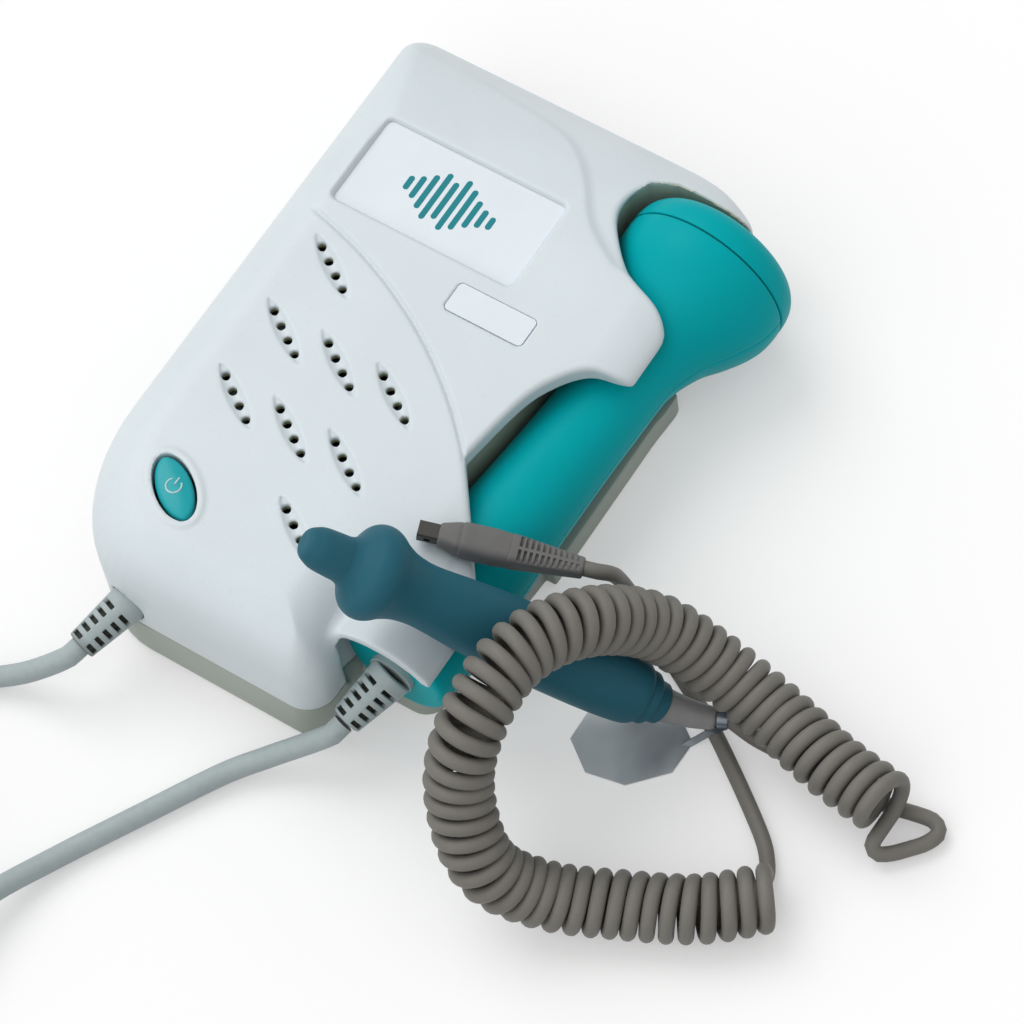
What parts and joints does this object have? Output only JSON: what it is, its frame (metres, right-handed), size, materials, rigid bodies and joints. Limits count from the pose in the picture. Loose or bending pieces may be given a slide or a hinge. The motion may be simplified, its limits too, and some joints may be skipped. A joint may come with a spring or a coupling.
{
  "type": "vascular doppler",
  "caption": "Pocket doppler with a speaker, a teal fetal probe docked along its side, and a pen-shaped vascular probe on a plug-in curly cord.",
  "frame": {"origin": "centre of the case's back face, which lies on the table", "axes": "+Z out of the case's front face, +Y towards its head end, +X towards the docked probe"},
  "size_m": [0.2136, 0.2493, 0.0631],
  "materials": {
    "case_plastic": "satin moulded, off-white",
    "back_plastic": "fine grain, grey-green",
    "window_print": "printed film, near white",
    "liner_rubber": "soft, dark grey",
    "steel": "plated",
    "teal_button": "moulded",
    "teal_shell": "satin moulded, teal",
    "teal_face": "smooth lens face",
    "board_green": "solder mask",
    "chip_black": "moulded",
    "speaker_paper": "pressed pulp",
    "magnet": "ground",
    "pot_blue": "moulded",
    "cell_wrap": "plain sleeve",
    "crystal": "silvered ceramic",
    "cord_grey": "matt, pale blue-grey",
    "slate_shell": "satin moulded, slate blue",
    "slate_tip": "smooth, slate blue",
    "wire_grey": "matt, warm grey",
    "plug_grey": "matt, warm grey",
    "gold": "gold flashed",
    "label_film": "silvery film"
  },
  "bodies": {
    "case": {"front_shell": "case_plastic", "back_shell": "back_plastic", "window_plate": "window_print", "name_plate": "window_print", "dock_liner": "liner_rubber", "shell_screws": "steel", "button_board": "board_green", "button_switch": "chip_black", "speaker_frame": "liner_rubber", "speaker_cone": "speaker_paper", "speaker_magnet": "magnet", "circuit_board": "board_green", "board_parts": "chip_black", "volume_pot": "pot_blue", "earphone_jack": "chip_black", "batteries": "cell_wrap", "battery_contacts": "steel", "case_relief": "cord_grey", "case_cord": "cord_grey", "cord_coil": "cord_grey", "fetal_cord": "cord_grey", "pencil_cord": "wire_grey", "curly_cord": "wire_grey", "plug_cord": "wire_grey", "plug_relief": "plug_grey", "plug_body": "plug_grey", "plug_nose": "plug_grey", "plug_shell": "steel", "plug_contacts": "gold", "label_tag": "label_film"},
    "button": {"power_button": "teal_button"},
    "wheel": {"volume_wheel": "liner_rubber"},
    "cover": {"battery_cover": "back_plastic"},
    "fetal_probe": {"fetal_upper": "teal_shell", "fetal_lower": "teal_shell", "fetal_cap": "teal_shell", "fetal_face": "teal_face", "fetal_crystals": "crystal", "fetal_board": "board_green", "fetal_collar": "cord_grey", "fetal_relief": "cord_grey"},
    "vascular_probe": {"pencil_body": "slate_shell", "pencil_tip": "slate_tip", "pencil_crystals": "crystal", "pencil_collar": "slate_tip", "pencil_relief": "plug_grey"}
  },
  "joints": [
    {"name": "button_press", "type": "slide", "parent": "case", "child": "button", "axis": [0, 0, -1], "range_m": [0, 0.0008], "stiffness_N_per_m": 1500},
    {"name": "volume_turn", "type": "hinge", "parent": "case", "child": "wheel", "pos_m": [-0.035, -0.022, 0.0152], "axis": [0, 0, 1], "range_deg": [-135, 135]},
    {"name": "cover_slide", "type": "slide", "parent": "case", "child": "cover", "axis": [0, 1, 0], "range_m": [0, 0.07]},
    {"name": "fetal_swing", "type": "hinge", "parent": "case", "child": "fetal_probe", "pos_m": [0.03042, -0.04903, 0.019], "axis": [0, 0, -1], "range_deg": [0, 8]},
    {"name": "vascular_lift", "type": "slide", "parent": "case", "child": "vascular_probe", "axis": [-0.7098, -0.3027, 0.6361], "range_m": [0, 0.09]}
  ]
}
